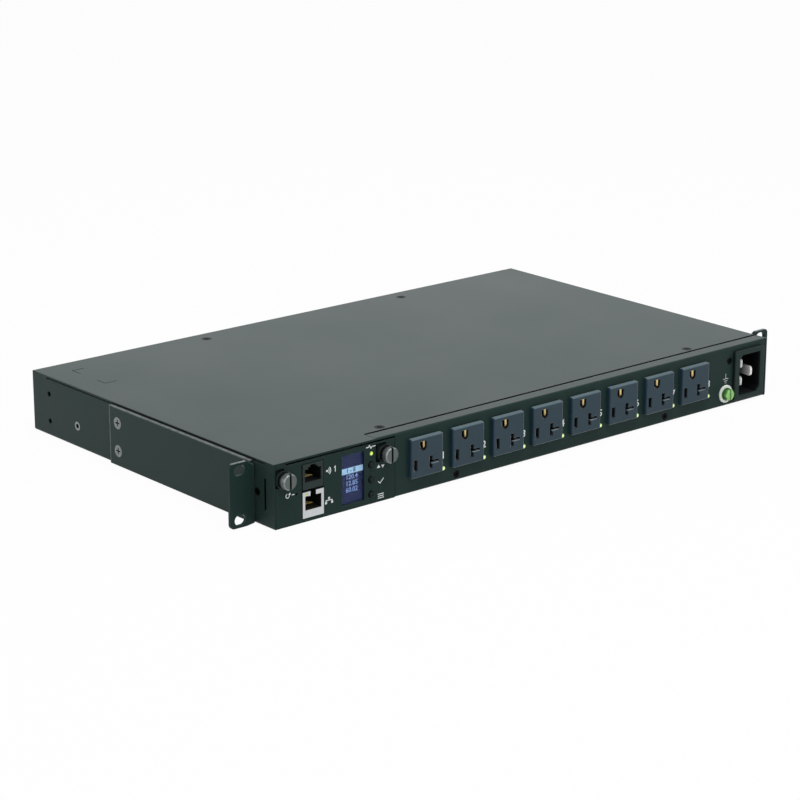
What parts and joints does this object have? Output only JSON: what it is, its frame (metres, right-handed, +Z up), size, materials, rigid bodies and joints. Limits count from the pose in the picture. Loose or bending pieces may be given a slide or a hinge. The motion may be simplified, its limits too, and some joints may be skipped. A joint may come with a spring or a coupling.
{
  "type": "rack power distribution unit",
  "caption": "Flat rack-mount power distribution unit: folded steel case with slotted ears, a row of switched outlets, a flat-pin inlet and a slide-in controller with display.",
  "frame": {"origin": "middle of the foot of the case, under the middle of the overall length and depth", "axes": "+X to the right seen from the front, +Y to the rear, +Z up"},
  "size_m": [0.48, 0.2734, 0.042],
  "materials": {
    "case_steel": "dark powder coat",
    "ear_steel": "dark powder coat",
    "black_steel": "black oxide",
    "screw_steel": "plated",
    "nickel": "nickel plated, satin",
    "shell_steel": "bright plated",
    "pin_metal": "bright nickel",
    "contact_metal": "brushed",
    "outlet_plastic": "moulded, fine texture",
    "black_plastic": "moulded",
    "board": "solder resist",
    "relay_case": "moulded",
    "converter_case": "potted",
    "line_insulation": "matt",
    "neutral_insulation": "matt",
    "earth_insulation": "matt",
    "green_paint": "green coated",
    "display_glass": "polished",
    "display_face": "smooth",
    "light_lens": "frosted"
  },
  "bodies": {
    "chassis": {"chassis_tray": "case_steel", "top_cover": "case_steel", "cover_screws": "black_steel", "left_rack_ear": "ear_steel", "right_rack_ear": "ear_steel", "ear_screws": "screw_steel", "side_inserts": "screw_steel", "black_screws": "black_steel", "left_module_bracket": "screw_steel", "right_module_bracket": "screw_steel", "inlet_housing": "black_plastic", "inlet_line_pin": "pin_metal", "inlet_neutral_pin": "pin_metal", "inlet_earth_pin": "pin_metal", "line_wire": "line_insulation", "neutral_wire": "neutral_insulation", "earth_wire": "earth_insulation", "earth_washer": "screw_steel", "earth_screw": "green_paint", "line_contacts": "contact_metal", "neutral_bus": "contact_metal", "earth_bus": "contact_metal", "outlet_board": "board", "outlet_lights": "light_lens", "power_board": "board", "board_standoffs": "screw_steel", "board_screws": "screw_steel", "relays": "relay_case", "mains_converter": "converter_case", "module_socket": "black_plastic", "outlet_1": "outlet_plastic", "outlet_2": "outlet_plastic", "outlet_3": "outlet_plastic", "outlet_4": "outlet_plastic", "outlet_5": "outlet_plastic", "outlet_6": "outlet_plastic", "outlet_7": "outlet_plastic", "outlet_8": "outlet_plastic"},
    "module": {"module_plate": "case_steel", "module_frame": "case_steel", "control_board": "board", "module_plug": "black_plastic", "left_sleeve": "nickel", "right_sleeve": "nickel", "sensor_jack": "black_plastic", "sensor_jack_contacts": "contact_metal", "network_jack_shell": "shell_steel", "network_jack_insert": "black_plastic", "network_jack_contacts": "contact_metal", "network_light": "light_lens", "display_window": "display_glass", "display_panel": "display_face", "status_light": "light_lens", "switches": "black_plastic"},
    "scroll_button": {"scroll_button": "black_plastic"},
    "select_button": {"select_button": "black_plastic"},
    "menu_button": {"menu_button": "black_plastic"},
    "reset_plunger": {"reset_plunger": "black_plastic"},
    "left_thumbscrew": {"left_thumbscrew": "nickel"},
    "right_thumbscrew": {"right_thumbscrew": "nickel"}
  },
  "joints": [
    {"name": "module_slide", "type": "slide", "parent": "chassis", "child": "module", "axis": [0, -1, 0], "range_m": [0, 0.045]},
    {"name": "scroll_press", "type": "slide", "parent": "module", "child": "scroll_button", "axis": [0, 1, 0], "range_m": [0, 0.0006], "stiffness_N_per_m": 1600, "springref_m": -0.0004},
    {"name": "select_press", "type": "slide", "parent": "module", "child": "select_button", "axis": [0, 1, 0], "range_m": [0, 0.0006], "stiffness_N_per_m": 1600, "springref_m": -0.0004},
    {"name": "menu_press", "type": "slide", "parent": "module", "child": "menu_button", "axis": [0, 1, 0], "range_m": [0, 0.0006], "stiffness_N_per_m": 1600, "springref_m": -0.0004},
    {"name": "reset_press", "type": "slide", "parent": "module", "child": "reset_plunger", "axis": [0, 1, 0], "range_m": [0, 0.0004], "stiffness_N_per_m": 1600, "springref_m": -0.0004},
    {"name": "left_thumbscrew_turn", "type": "hinge", "parent": "module", "child": "left_thumbscrew", "pos_m": [-0.212, -0.13025, 0.0308], "axis": [0, -1, 0], "continuous": true},
    {"name": "right_thumbscrew_turn", "type": "hinge", "parent": "module", "child": "right_thumbscrew", "pos_m": [-0.1318, -0.13025, 0.0308], "axis": [0, -1, 0], "continuous": true}
  ]
}
